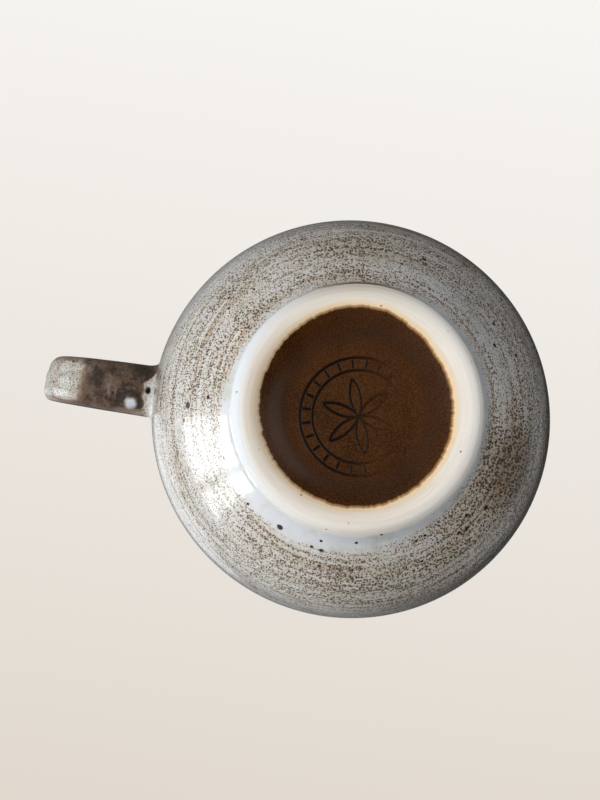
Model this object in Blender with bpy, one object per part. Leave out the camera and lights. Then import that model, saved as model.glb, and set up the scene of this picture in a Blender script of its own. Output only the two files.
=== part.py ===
"""A wheel-thrown stoneware mug with a pulled strap handle and its glaze coats.

Metres, +Z up. The mug stands on its foot ring at z = 0, and the handle reaches out towards -X. The origin is
the middle of the mug's bounding box on the ground, so the cup's own axis stands at x = CUP_AXIS_X, where an
empty carries every piece. Lengths in the tables of outline points are in millimetres.
"""

import math

import bmesh
import bpy
import numpy as np

MM = 0.001

# Driving dimensions, in millimetres
HEIGHT = 88.0
BELLY_RADIUS = 47.5
BELLY_HEIGHT = 40.0
HANDLE_REACH = 74.7
FOOT_RADIUS = 28.0
FOOT_FLAT = (22.7, 26.9)
FOOT_INNER_EDGE = (22.3, 0.15)
LIP_RADIUS = 1.8
LIP_MIDDLE = (41.1, HEIGHT - LIP_RADIUS)
FLOOR_HEIGHT = 9.6
WELL_DEPTH = 3.4
WELL_RADIUS = 17.6

GLAZE = 0.4
GAP = 0.3
CLAY_INSET = GLAZE + GAP
FOOT_LINE = 2.0
LIP_LINE = HEIGHT - 2.6

STRAP_THICKNESS = 6.4
STRAP_SQUARENESS = 3.4
STRAP_SKEW = 0.03
JOINT_LENGTH = 3.2
JOINT_FLARE = 1.5

# How finely the shapes are divided
SEGMENTS = 48
OUTSIDE_POINTS = 13
INSIDE_POINTS = 11
WELL_POINTS = 6
LIP_POINTS = 5
FOOT_EDGE_POINTS = 4
SECTION_POINTS = 16
PATH_SAMPLES = 200
CURVE_SAMPLES = 40
HANDLE_STATIONS = 23
JOINT_STATIONS = 9
SHARE_TOLERANCE = 0.00001
MERGE_DISTANCE = 0.00001
SHARP_ANGLE = math.radians(40)

# The box runs from the strap's outermost point to the belly's far side
CUP_AXIS_X = (HANDLE_REACH - BELLY_RADIUS) / 2 * MM

# Outside of the cup from the foot up to the lip, as (radius, height)
OUTSIDE = [
    (FOOT_RADIUS, FOOT_LINE),
    (28.1, 3.4),
    (30.1, 6.0),
    (35.0, 10.4),
    (40.8, 17.6),
    (45.4, 27.2),
    (BELLY_RADIUS, BELLY_HEIGHT),
    (46.4, 53.0),
    (43.9, 66.0),
    (42.5, 77.0),
    (LIP_MIDDLE[0] + LIP_RADIUS, LIP_MIDDLE[1]),
]

# Inside of the cup from the lip down to the middle of the floor
INSIDE = [
    (LIP_MIDDLE[0] - LIP_RADIUS, LIP_MIDDLE[1]),
    (38.8, 77.0),
    (40.0, 66.0),
    (42.2, 53.0),
    (43.1, 41.0),
    (41.2, 28.0),
    (36.4, 19.0),
    (28.0, 13.0),
    (16.0, 10.4),
    (0.0, FLOOR_HEIGHT),
]

# Recess inside the foot ring, from the ring to the middle of the well
WELL = [
    (22.0, 0.5),
    (21.0, 1.5),
    (19.4, 2.7),
    (WELL_RADIUS, WELL_DEPTH),
    (9.0, WELL_DEPTH + 0.3),
    (0.0, WELL_DEPTH + 0.3),
]

# Middle line of the strap from the belly round to under the rim, as (distance from the cup's axis, height)
STRAP_PATH = [
    (44.0, 42.6),
    (50.0, 42.0),
    (57.0, 41.8),
    (64.0, 42.8),
    (69.4, 46.8),
    (71.5, 53.5),
    (70.6, 61.0),
    (66.2, 68.6),
    (60.0, 74.0),
    (52.0, 76.4),
    (46.0, 76.8),
    (39.5, 76.6),
]

# Strap width at even steps along the path
STRAP_WIDTHS = [12.2, 11.6, 11.0, 10.8, 10.8, 10.8, 10.8, 11.0]


def clear_scene():
    for item in list(bpy.data.objects):
        bpy.data.objects.remove(item, do_unlink=True)


def make_material(name, colour, roughness):
    material = bpy.data.materials.new(name)
    material.use_nodes = True
    shader = material.node_tree.nodes["Principled BSDF"]
    shader.inputs["Base Color"].default_value = (*colour, 1.0)
    shader.inputs["Roughness"].default_value = roughness
    shader.inputs["Metallic"].default_value = 0.0
    material.diffuse_color = (*colour, 1.0)
    return material


def smooth_curve(points, count):
    """Samples the Catmull-Rom curve through points at count places, evenly along its length."""
    line = np.array(points, float)
    ends = np.vstack([2 * line[0] - line[1], line, 2 * line[-1] - line[-2]])
    t = np.linspace(0, 1, CURVE_SAMPLES, endpoint=False)[:, None]
    pieces = []
    for p0, p1, p2, p3 in zip(ends, ends[1:], ends[2:], ends[3:]):
        straight = 2 * p1 + (p2 - p0) * t
        bend = (2 * p0 - 5 * p1 + 4 * p2 - p3) * t**2
        turn = (3 * p1 - p0 - 3 * p2 + p3) * t**3
        pieces.append((straight + bend + turn) / 2)
    dense = np.vstack([*pieces, line[-1:]])
    steps = np.linalg.norm(np.diff(dense, axis=0), axis=1)
    run = np.concatenate([[0], np.cumsum(steps)])
    places = np.linspace(0, run[-1], count)
    return np.column_stack([np.interp(places, run, column) for column in dense.T])


def tangents(line):
    along = np.gradient(line, axis=0)
    return along / np.linalg.norm(along, axis=1)[:, None]


def moved_left(line, distance):
    """Shifts an outline to the left of its direction of travel."""
    along = tangents(line)
    return line + distance * np.column_stack([-along[:, 1], along[:, 0]])


def on_axis(line):
    """Puts an outline's last point exactly on the cup's axis, level with where it was."""
    line[-1, 0] = 0.0
    return line


def arc(centre, radius, start, end, count):
    angles = np.radians(np.linspace(start, end, count))
    return np.column_stack([centre[0] + radius * np.cos(angles), centre[1] + radius * np.sin(angles)])


def add_object(name, mesh, material, axis):
    mesh.materials.append(material)
    item = bpy.data.objects.new(name, mesh)
    bpy.context.scene.collection.objects.link(item)
    item.parent = axis
    return item


def make_cutter(item):
    item.hide_render = True
    item.display_type = "WIRE"


def turned(name, outline, closed, material, axis):
    """Turns an outline about the cup's axis. It runs down its outer side."""
    points = [(radius * MM, 0.0, height * MM) for radius, height in outline]
    edges = [(i, i + 1) for i in range(len(points) - 1)]
    if closed:
        edges.append((len(points) - 1, 0))
    mesh = bpy.data.meshes.new(name)
    mesh.from_pydata(points, edges, [])
    item = add_object(name, mesh, material, axis)
    screw = item.modifiers.new("turn", "SCREW")
    screw.angle = 2 * math.pi
    screw.steps = SEGMENTS
    screw.render_steps = SEGMENTS
    screw.use_smooth_shade = True
    screw.use_merge_vertices = True
    screw.merge_threshold = MERGE_DISTANCE
    return item


def cut(item, cutter):
    boolean = item.modifiers.new("cut by " + cutter.name, "BOOLEAN")
    boolean.operation = "DIFFERENCE"
    boolean.solver = "EXACT"
    boolean.object = cutter


def outside_line():
    return smooth_curve(OUTSIDE, OUTSIDE_POINTS)


def inside_line():
    return smooth_curve(INSIDE, INSIDE_POINTS)


def well_line():
    return smooth_curve(WELL, WELL_POINTS)


def foot_outline():
    """Bare clay from under the outer glaze round the foot ring to under the well glaze."""
    edge = FOOT_RADIUS - FOOT_FLAT[1]
    outer_edge = arc((FOOT_FLAT[1], edge), edge, 0, -90, FOOT_EDGE_POINTS)
    return np.vstack([outer_edge, [(FOOT_FLAT[0], 0.0), FOOT_INNER_EDGE]])


def clay_outline():
    """The whole clay cup, from the middle of its floor inside to the middle of the well."""
    inner = on_axis(moved_left(inside_line(), CLAY_INSET))
    lip = arc(LIP_MIDDLE, LIP_RADIUS - CLAY_INSET, 180, 0, LIP_POINTS)
    outer = moved_left(outside_line(), CLAY_INSET)
    well = on_axis(moved_left(well_line(), -CLAY_INSET))
    return np.vstack([inner[:0:-1], lip, outer[-2::-1], foot_outline(), well])


def make_thrown_body(axis):
    material = make_material("bare_stoneware_clay", (0.75, 0.66, 0.54), 0.85)
    return turned("thrown_body", clay_outline(), False, material, axis)


def make_outer_glaze(axis, cutters):
    line = outside_line()
    line = line[line[:, 1] <= LIP_LINE]
    line = np.vstack([line, [(LIP_MIDDLE[0] + LIP_RADIUS, LIP_LINE)]])
    back = moved_left(line, GLAZE)
    outline = np.vstack([line[::-1], back])
    material = make_material("speckled_outer_glaze", (0.42, 0.42, 0.40), 0.2)
    glaze = turned("outer_glaze", outline, True, material, axis)
    for cutter in cutters:
        cut(glaze, cutter)
    return glaze


def liner_face(inset):
    """The liner glaze from its edge outside the lip, over it and down to the middle of the floor."""
    edge = (LIP_MIDDLE[0] + LIP_RADIUS - inset, LIP_LINE + GAP)
    lip = arc(LIP_MIDDLE, LIP_RADIUS - inset, 0, 180, LIP_POINTS)
    inner = on_axis(moved_left(inside_line(), inset))
    return np.vstack([[edge], lip, inner[1:]])


def make_liner_glaze(axis):
    outline = np.vstack([liner_face(0.0)[::-1], liner_face(GLAZE)])
    material = make_material("liner_glaze", (0.55, 0.55, 0.52), 0.15)
    return turned("liner_glaze", outline, False, material, axis)


def make_foot_well_glaze(axis):
    surface = on_axis(well_line())
    back = on_axis(moved_left(well_line(), -GLAZE))
    outline = np.vstack([back[::-1], surface])
    material = make_material("brown_iron_glaze", (0.055, 0.026, 0.014), 0.4)
    return turned("foot_well_glaze", outline, False, material, axis)


def strap_station(share):
    """The strap at a share of its way round: its place, its direction, its half width and the share."""
    line = smooth_curve(STRAP_PATH, PATH_SAMPLES)
    shares = np.linspace(0, 1, PATH_SAMPLES)
    place = [np.interp(share, shares, column) for column in line.T]
    direction = [np.interp(share, shares, column) for column in tangents(line).T]
    width = np.interp(share, np.linspace(0, 1, len(STRAP_WIDTHS)), STRAP_WIDTHS)
    return place, direction, width / 2, share


def strap_ring(station, inset):
    """One closed section of the strap, inset from its glazed surface."""
    (reach, height), (along_reach, along_height), half_width, share = station
    half_width = half_width - inset
    half_thickness = STRAP_THICKNESS / 2 - inset
    skew = STRAP_SKEW * math.sin(math.pi * share) ** 2
    ring = []
    for i in range(SECTION_POINTS):
        angle = 2 * math.pi * (i + 0.5) / SECTION_POINTS
        c = math.cos(angle)
        s = math.sin(angle)
        across = half_width * math.copysign(abs(c) ** (2 / STRAP_SQUARENESS), c)
        outward = half_thickness * math.copysign(abs(s) ** (2 / STRAP_SQUARENESS), s)
        x = reach + outward * along_height + skew * across
        z = height - outward * along_reach
        ring.append((-x * MM, across * MM, z * MM))
    return ring


def swept(name, rings, material, axis, inner_rings=None):
    """Skins a row of rings into a closed body, or into a sleeve when inner rings are given."""
    build = bmesh.new()

    def add_wall(wall):
        loops = [[build.verts.new(point) for point in ring] for ring in wall]
        for first, second in zip(loops, loops[1:]):
            join(first, second)
        return loops

    def join(first, second):
        for i in range(SECTION_POINTS):
            after = (i + 1) % SECTION_POINTS
            build.faces.new((first[i], first[after], second[after], second[i]))

    outer = add_wall(rings)
    if inner_rings is None:
        build.faces.new(outer[0])
        build.faces.new(outer[-1])
    else:
        inner = add_wall(inner_rings)
        join(outer[0], inner[0])
        join(outer[-1], inner[-1])
    bmesh.ops.recalc_face_normals(build, faces=build.faces)
    mesh = bpy.data.meshes.new(name)
    build.to_mesh(mesh)
    build.free()
    mesh.shade_smooth()
    mesh.set_sharp_from_angle(angle=SHARP_ANGLE)
    return add_object(name, mesh, material, axis)


def wall_radius(height):
    line = outside_line()
    return float(np.interp(height, line[:, 1], line[:, 0]))


def proud_of_wall(share):
    """How far the strap's middle line stands out of the cup's wall at a share of its way round."""
    (reach, height), _, _, _ = strap_station(share)
    return reach - wall_radius(height)


def share_at(distance, upper):
    """The share of the strap's way at which its middle line stands distance out of the cup's wall."""
    inside, outside = (1.0, 0.5) if upper else (0.0, 0.5)
    while abs(outside - inside) > SHARE_TOLERANCE:
        middle = (inside + outside) / 2
        if proud_of_wall(middle) < distance:
            inside = middle
        else:
            outside = middle
    return outside


def handle_stations():
    """Stations of the strap between its two joints."""
    first = share_at(JOINT_LENGTH + GAP, False)
    last = share_at(JOINT_LENGTH + GAP, True)
    return [strap_station(share) for share in np.linspace(first, last, HANDLE_STATIONS)]


def joint_rings(upper, swelling):
    """Sections of a joint from inside the cup's wall out to the strap's end, flared towards the wall."""
    rings = []
    for share in np.linspace(1.0 if upper else 0.0, share_at(JOINT_LENGTH, upper), JOINT_STATIONS):
        closeness = 1 - max(0.0, proud_of_wall(share)) / JOINT_LENGTH
        flare = JOINT_FLARE * closeness**2
        rings.append(strap_ring(strap_station(share), -flare - swelling))
    return rings


def make_joint(name, upper, cup_space, axis):
    material = make_material(name + "_slip", (0.50, 0.49, 0.45), 0.3)
    joint = swept(name, joint_rings(upper, 0.0), material, axis)
    cut(joint, cup_space)
    return joint


def make_joint_cutter(name, upper, axis):
    material = make_material(name, (1.0, 0.0, 0.0), 0.5)
    cutter = swept(name, joint_rings(upper, GAP), material, axis)
    make_cutter(cutter)
    return cutter


def make_cup_space(axis):
    """The clay cup's outer shape and the gap round it, filled solid: what the joints are cut back from."""
    line = moved_left(outside_line(), GLAZE)
    outline = np.vstack([[(0.0, line[-1, 1])], line[::-1], [(0.0, line[0, 1])]])
    material = make_material("cup_space", (1.0, 0.0, 0.0), 0.5)
    space = turned("cup_space", outline, False, material, axis)
    make_cutter(space)
    return space


def make_handle(axis):
    material = make_material("handle_clay", (0.45, 0.36, 0.28), 0.8)
    rings = [strap_ring(station, CLAY_INSET) for station in handle_stations()]
    return swept("handle", rings, material, axis)


def make_handle_glaze(axis):
    material = make_material("handle_iron_glaze", (0.16, 0.11, 0.08), 0.25)
    stations = handle_stations()
    outer = [strap_ring(station, 0.0) for station in stations]
    inner = [strap_ring(station, GLAZE) for station in stations]
    return swept("handle_glaze", outer, material, axis, inner)


def build():
    clear_scene()
    axis = bpy.data.objects.new("cup_axis", None)
    bpy.context.scene.collection.objects.link(axis)
    axis.location = (CUP_AXIS_X, 0.0, 0.0)
    cup_space = make_cup_space(axis)
    lower_cutter = make_joint_cutter("lower_joint_space", False, axis)
    upper_cutter = make_joint_cutter("upper_joint_space", True, axis)
    make_thrown_body(axis)
    make_outer_glaze(axis, [lower_cutter, upper_cutter])
    make_liner_glaze(axis)
    make_foot_well_glaze(axis)
    make_handle(axis)
    make_handle_glaze(axis)
    make_joint("lower_handle_joint", False, cup_space, axis)
    make_joint("upper_handle_joint", True, cup_space, axis)


build()
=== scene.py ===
"""The looks of a speckled stoneware mug, seen from below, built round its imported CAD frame.

Lengths in the outlines are in millimetres, heights above the foot's resting face. Angles round the cup are in
degrees from +X towards +Y; the handle is at 180. "Run" is the distance along an outline from its first point.
"""

import math

import bpy
import numpy as np
from mathutils import Matrix, Vector


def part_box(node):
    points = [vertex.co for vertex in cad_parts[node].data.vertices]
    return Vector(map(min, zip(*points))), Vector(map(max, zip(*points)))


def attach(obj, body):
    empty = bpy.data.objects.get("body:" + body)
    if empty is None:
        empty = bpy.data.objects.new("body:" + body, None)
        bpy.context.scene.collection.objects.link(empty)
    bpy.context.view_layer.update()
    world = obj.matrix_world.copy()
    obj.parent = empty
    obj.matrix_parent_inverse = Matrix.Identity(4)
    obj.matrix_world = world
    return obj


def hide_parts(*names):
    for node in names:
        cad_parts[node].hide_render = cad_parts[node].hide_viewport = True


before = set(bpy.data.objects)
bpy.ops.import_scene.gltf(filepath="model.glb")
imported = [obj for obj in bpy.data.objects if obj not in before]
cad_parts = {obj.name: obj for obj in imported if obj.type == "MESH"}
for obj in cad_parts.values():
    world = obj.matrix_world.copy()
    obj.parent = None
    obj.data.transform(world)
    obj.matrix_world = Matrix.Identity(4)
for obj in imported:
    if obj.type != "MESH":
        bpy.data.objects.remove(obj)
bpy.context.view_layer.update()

MM = 0.001
BODY = "root"

# The cup's axis, from the CAD model's well glaze, which is round about it
WELL_LOW, WELL_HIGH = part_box("foot_well_glaze")
CUP_AXIS_X = (WELL_LOW[0] + WELL_HIGH[0]) / 2

# The cup's outlines, as in the CAD model: (radius, height)
HEIGHT = 88.0
LIP_RADIUS = 1.8
LIP_MIDDLE = (41.1, HEIGHT - LIP_RADIUS)
OUTSIDE = [
    (27.5, 1.0), (28.1, 2.0), (28.9, 3.4), (30.7, 5.7), (35.1, 10.2), (40.8, 17.6),
    (45.4, 27.2), (47.5, 40.0), (46.4, 53.0), (43.9, 66.0), (42.5, 77.0), (42.9, 86.2),
]
INSIDE = [
    (39.3, 86.2), (38.8, 77.0), (40.0, 66.0), (42.2, 53.0), (43.1, 41.0), (41.2, 28.0),
    (36.4, 19.0), (28.0, 13.0), (16.0, 10.4), (0.0, 9.6),
]
FOOT = [
    (28.3, 2.5), (27.75, 1.55), (27.1, 0.8), (26.2, 0.25), (25.2, 0.0), (24.4, 0.0),
    (23.6, 0.1), (22.9, 0.35), (22.2, 0.75), (21.2, 1.45), (20.0, 2.3),
]
WELL = [
    (24.2, 0.01), (23.6, 0.11), (22.9, 0.36), (22.2, 0.76), (21.2, 1.46), (19.6, 2.50),
    (17.8, 3.25), (15.5, 3.6), (9.0, 3.72), (0.0, 3.75),
]

# The strap, close to the CAD model's: its path as (reach from the cup's axis, height), and its section
STRAP_PATH = [
    (44.0, 42.6), (50.0, 42.0), (57.0, 41.8), (64.0, 42.8), (69.4, 46.8), (71.5, 53.5),
    (70.6, 61.0), (66.2, 68.6), (60.0, 74.0), (52.0, 76.4), (46.0, 76.8), (39.5, 76.6),
]
STRAP_WIDTHS = [12.2, 11.9, 11.3, 10.8, 10.8, 10.8, 10.8, 11.0]
STRAP_THICKNESS = 6.4
STRAP_SQUARENESS = 3.6
ARM_SQUARENESS = 2.3
STRAP_CROWN = 0.14
STRAP_SKEW = 0.09
STRAP_SHIFT = 0.35
FILLET = 3.0
FILLET_FLARE = 1.4

# The burst bubble under the lower joint: (across, share of the way down the fillet), half sizes, depth
PINHOLE = (0.5, 0.34)
PINHOLE_SIZE = (0.80, 0.145)
PINHOLE_DEPTH = 0.9

# The painted highlight under the strap, a pale patch on a low bump: (reach, across), half sizes, height
PAINTED_HIGHLIGHT = (52.5, 4.1)
PAINTED_HIGHLIGHT_SIZE = (1.30, 1.20)
HIGHLIGHT_BUMP_HEIGHT = 0.10

# The camera looks up at the foot from below, nearly along the cup's axis
LENS = 101.7
CAMERA_DISTANCE = 0.5
CAMERA_ROLL = math.radians(8.4)
CAMERA_LEAN = (0.017, 0.062)
CAMERA_CLIP = (0.01, 20.0)
FOOT_OFF_CENTRE = (0.0128, -0.0020)


# ---- outlines and noise

SAMPLES_PER_SPAN = 60


def smooth_curve(points, count):
    """Samples the Catmull-Rom curve through points at count places, evenly along its length."""
    line = np.array(points, float)
    ends = np.vstack([2 * line[0] - line[1], line, 2 * line[-1] - line[-2]])
    t = np.linspace(0, 1, SAMPLES_PER_SPAN, endpoint=False)[:, None]
    pieces = []
    for p0, p1, p2, p3 in zip(ends, ends[1:], ends[2:], ends[3:]):
        straight = 2 * p1 + (p2 - p0) * t
        bend = (2 * p0 - 5 * p1 + 4 * p2 - p3) * t**2
        turn = (3 * p1 - p0 - 3 * p2 + p3) * t**3
        pieces.append((straight + bend + turn) / 2)
    dense = np.vstack([*pieces, line[-1:]])
    run = run_along(dense)
    places = np.linspace(0, run[-1], count)
    return np.column_stack([np.interp(places, run, column) for column in dense.T])


def run_along(line):
    steps = np.linalg.norm(np.diff(line, axis=0), axis=1)
    return np.concatenate([[0], np.cumsum(steps)])


def tangents(line):
    along = np.gradient(line, axis=0)
    return along / np.linalg.norm(along, axis=1)[:, None]


def arc(centre, radius, start, end, count):
    angles = np.radians(np.linspace(start, end, count))
    return np.column_stack([centre[0] + radius * np.cos(angles), centre[1] + radius * np.sin(angles)])


def ease(t):
    return t * t * (3 - 2 * t)


def smoothstep(low, high, value):
    return ease(np.clip((value - low) / (high - low), 0, 1))


def round_angles(count):
    return np.linspace(0, 2 * math.pi, count, endpoint=False)[None, :]


def round_values(angles, knots):
    """Blends values given at some angles, in degrees, smoothly round the full circle."""
    at = np.degrees(angles) % 360
    places, values = np.array(sorted(knots), float).T
    places = np.concatenate([[places[-1] - 360], places, [places[0] + 360]])
    values = np.concatenate([[values[-1]], values, [values[0]]])
    i = np.clip(np.searchsorted(places, at, side="right") - 1, 0, len(places) - 2)
    t = ease((at - places[i]) / (places[i + 1] - places[i]))
    return values[i] * (1 - t) + values[i + 1] * t


def cell(x):
    """The whole part of x, and the rest of it eased."""
    i = np.floor(x).astype(int)
    return i, ease(x - i)


def ring_noise(angles, cells, seed):
    """Smooth noise from -1 to 1 that closes on itself round the circle."""
    values = np.random.RandomState(seed).uniform(-1, 1, cells)
    i, t = cell((angles / (2 * math.pi)) % 1 * cells)
    return values[i % cells] * (1 - t) + values[(i + 1) % cells] * t


def jagged(angles, cells, seed, octaves=4):
    """Ring noise with finer and fainter detail added in steps."""
    total = 0.0
    for k in range(octaves):
        total = total + ring_noise(angles, cells * 2**k, seed + k) / 2**k
    return total


def surface_noise(angles, run, cells, step, seed):
    """Smooth noise over a turned surface: cells round the circle, one step of run from cell to cell."""
    rows = int(np.max(run) / step) + 3
    values = np.random.RandomState(seed).uniform(-1, 1, (rows, cells))
    i, s = cell((angles / (2 * math.pi)) % 1 * cells)
    j, t = cell(run / step)
    first = values[j, i % cells] * (1 - s) + values[j, (i + 1) % cells] * s
    second = values[j + 1, i % cells] * (1 - s) + values[j + 1, (i + 1) % cells] * s
    return first * (1 - t) + second * t


def degrees_from(angles, middle):
    return (np.degrees(angles) - middle + 180) % 360 - 180


def patches(angles, run, marks):
    """Soft patches, each (angle, run, half width in degrees, half length in run, strength)."""
    total = np.zeros(np.broadcast(angles, run).shape)
    for middle, along, wide, long, strength in marks:
        away = degrees_from(angles, middle)
        total += strength * np.exp(-((away / wide) ** 2) - ((run - along) / long) ** 2)
    return total


def sector(angles, middle, wide):
    """1 at the angle middle, falling off softly over wide degrees to each side."""
    return np.exp(-((degrees_from(angles, middle) / wide) ** 2))


# ---- meshes


def add_object(name, data):
    item = bpy.data.objects.new(name, data)
    bpy.context.scene.collection.objects.link(item)
    return item


def add_piece(name, points, nodes, finish, attributes, flip=False, closed=False):
    """Adds a surface of rings of points, which rides on the mug and stands for the named CAD nodes.

    Attributes have one value for each point, each ring or each place round the rings. Flip turns the
    faces over. A closed surface ends in a fan from its last ring to one point in that ring's middle.
    """
    rows, columns = points.shape[:2]
    flat = points.reshape(-1, 3)
    faces = grid_faces(rows, columns, flip)
    if closed:
        flat = np.vstack([flat, points[-1].mean(axis=0)])
        faces += fan_faces(rows, columns, flip)
    mesh = bpy.data.meshes.new(name)
    mesh.from_pydata([tuple(p) for p in flat], [], faces)
    mesh.update()
    for key, values in attributes.items():
        values = np.broadcast_to(values, (rows, columns)).ravel()
        if closed:
            values = np.append(values, values[-1])
        layer = mesh.attributes.new(key, "FLOAT", "POINT")
        layer.data.foreach_set("value", values.astype(np.float32))
    mesh.shade_smooth()
    mesh.materials.append(finish)
    piece = add_object(name, mesh)
    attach(piece, BODY)
    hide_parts(*nodes)
    return piece


def grid_faces(rows, columns, flip):
    """Quads between neighbouring rings of columns points, round the circle."""
    faces = []
    for i in range(rows - 1):
        for j in range(columns):
            k = (j + 1) % columns
            a, b, c, d = i * columns + j, i * columns + k, (i + 1) * columns + k, (i + 1) * columns + j
            faces.append((d, c, b, a) if flip else (a, b, c, d))
    return faces


def fan_faces(rows, columns, flip):
    """Triangles from the last ring to the one point after it."""
    tip = rows * columns
    start = tip - columns
    faces = []
    for j in range(columns):
        k = (j + 1) % columns
        faces.append((tip, start + k, start + j) if flip else (start + j, start + k, tip))
    return faces


def turned_points(line, angles, lift):
    """The points of a turned surface, moved out along its outline's left side by lift, in millimetres."""
    along = tangents(line)
    left = np.column_stack([-along[:, 1], along[:, 0]])
    radius = line[:, 0:1] + left[:, 0:1] * lift
    height = line[:, 1:2] + left[:, 1:2] * lift
    x = CUP_AXIS_X + radius * np.cos(angles) * MM
    y = radius * np.sin(angles) * MM
    return np.stack([x, y, height * MM + 0 * x], axis=-1)


# ---- materials

# The outer glaze
GLAZE_PALE = (0.60, 0.60, 0.58)
GLAZE_WARM = (0.47, 0.41, 0.32)
GLAZE_STREAK = (0.42, 0.335, 0.235)
GLAZE_RUST = (0.26, 0.21, 0.165)
GLAZE_OLIVE = (0.45, 0.45, 0.36)
GLAZE_PINK = (0.56, 0.51, 0.51)
GLAZE_MILK = (0.72, 0.72, 0.70)
GLAZE_POOL = (0.63, 0.655, 0.69)
GLAZE_SLATE = (0.22, 0.26, 0.32)
GLAZE_THIN = (0.74, 0.71, 0.67)
# Painted shade: a blue-grey band where the glaze leaves the foot, on the side turned from the light
GLAZE_PAINTED_SHADE = (0.36, 0.37, 0.42)
GLAZE_BURNT = (0.13, 0.065, 0.022)
SPECK_BROWN = (0.24, 0.130, 0.045)
SPECK_DARK = (0.062, 0.038, 0.018)
SPECK_BLACK = (0.018, 0.013, 0.010)
SPECK_OCHRE = (0.42, 0.25, 0.08)
IRON = (0.020, 0.013, 0.012)

# The foot ring's bare clay
CLAY_CREAM = (0.745, 0.715, 0.66)
CLAY_BUFF = (0.69, 0.635, 0.565)
CLAY_LINE = (0.70, 0.52, 0.40)
CLAY_FLASH = (0.80, 0.58, 0.47)
CLAY_GRAIN = (0.50, 0.36, 0.25)
CLAY_HALO = (0.80, 0.56, 0.28)
CLAY_BURNT = (0.25, 0.11, 0.03)
# Darker beige clay; on the handle's side it is partly painted shade
CLAY_BEIGE_AND_SHADE = (0.54, 0.455, 0.355)
CLAY_CHALKY = (0.90, 0.87, 0.83)
CLAY_WASHED = (0.645, 0.69, 0.74)
CLAY_SPECK = (0.10, 0.06, 0.04)

# The well's brown glaze
WELL_DARK = (0.031, 0.0090, 0.0010)
WELL_WARM = (0.047, 0.0143, 0.0017)
WELL_FLECK = (0.110, 0.044, 0.007)
WELL_DEEP = (0.030, 0.012, 0.0048)
WELL_THIN = (0.22, 0.095, 0.022)
WELL_GROOVE = (0.004, 0.002, 0.001)

# The glaze inside the cup
LINER_COOL = (0.52, 0.55, 0.54)
LINER_WARM = (0.50, 0.47, 0.41)
LINER_SPECK_DARK = (0.06, 0.045, 0.035)
LINER_SPECK_BROWN = (0.26, 0.17, 0.09)
LINER_IRON = (0.03, 0.02, 0.018)
LINER_LIP = (0.20, 0.11, 0.05)

# The strap's glaze where it is pale, and where it is brown
STRAP_GREY = (0.47, 0.48, 0.45)
STRAP_BUFF = (0.40, 0.36, 0.31)
STRAP_TAN = (0.32, 0.23, 0.17)
STRAP_SPECK_DARK = (0.05, 0.036, 0.026)
STRAP_SPECK_BROWN = (0.19, 0.12, 0.07)
# Pale paint: a painted highlight under the strap, and pale glaze where the fillets meet the wall
STRAP_PALE_GLAZE_AND_HIGHLIGHT = (0.72, 0.76, 0.82)
STRAP_RUST = (0.17, 0.095, 0.055)
# Painted shade: the inside of the pinhole painted near black
STRAP_HOLE_SHADE = (0.006, 0.004, 0.004)
BROWN_DARK = (0.034, 0.023, 0.017)
BROWN_PALE = (0.120, 0.075, 0.050)
BROWN_MOTTLE = (0.17, 0.105, 0.070)
BROWN_BLUSH = (0.24, 0.18, 0.165)
BROWN_SPECK = (0.022, 0.014, 0.010)

# How far noise moves the edges of the placed iron spots, in millimetres
SPOT_WOBBLE = 0.35

# The larger iron spots, as (angle, run, radius)
IRON_SPOTS = [
    (82, 3.9, 0.42), (97, 5.0, 0.40), (115, 6.4, 0.75), (100, 7.6, 0.42),
    (131, 7.6, 0.40), (53, 7.3, 0.40), (57, 7.6, 0.38), (35, 10.4, 0.45),
    (38, 14.0, 0.55), (28, 14.2, 0.60), (177, 9.6, 0.50), (174, 16.6, 0.80),
    (169, 18.2, 0.50), (211, 15.2, 0.45), (214, 18.0, 0.45), (222, 13.6, 0.35),
    (279, 12.2, 0.40), (286, 17.6, 0.60), (326, 11.6, 0.50), (319, 15.8, 0.45),
    (332, 18.4, 0.50), (95, 13.0, 0.45), (83, 13.0, 0.40), (245, 24.0, 0.40),
]


# Places of the Mix node's sockets for colours
MIX_A, MIX_B, MIX_RESULT = 6, 7, 2


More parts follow.
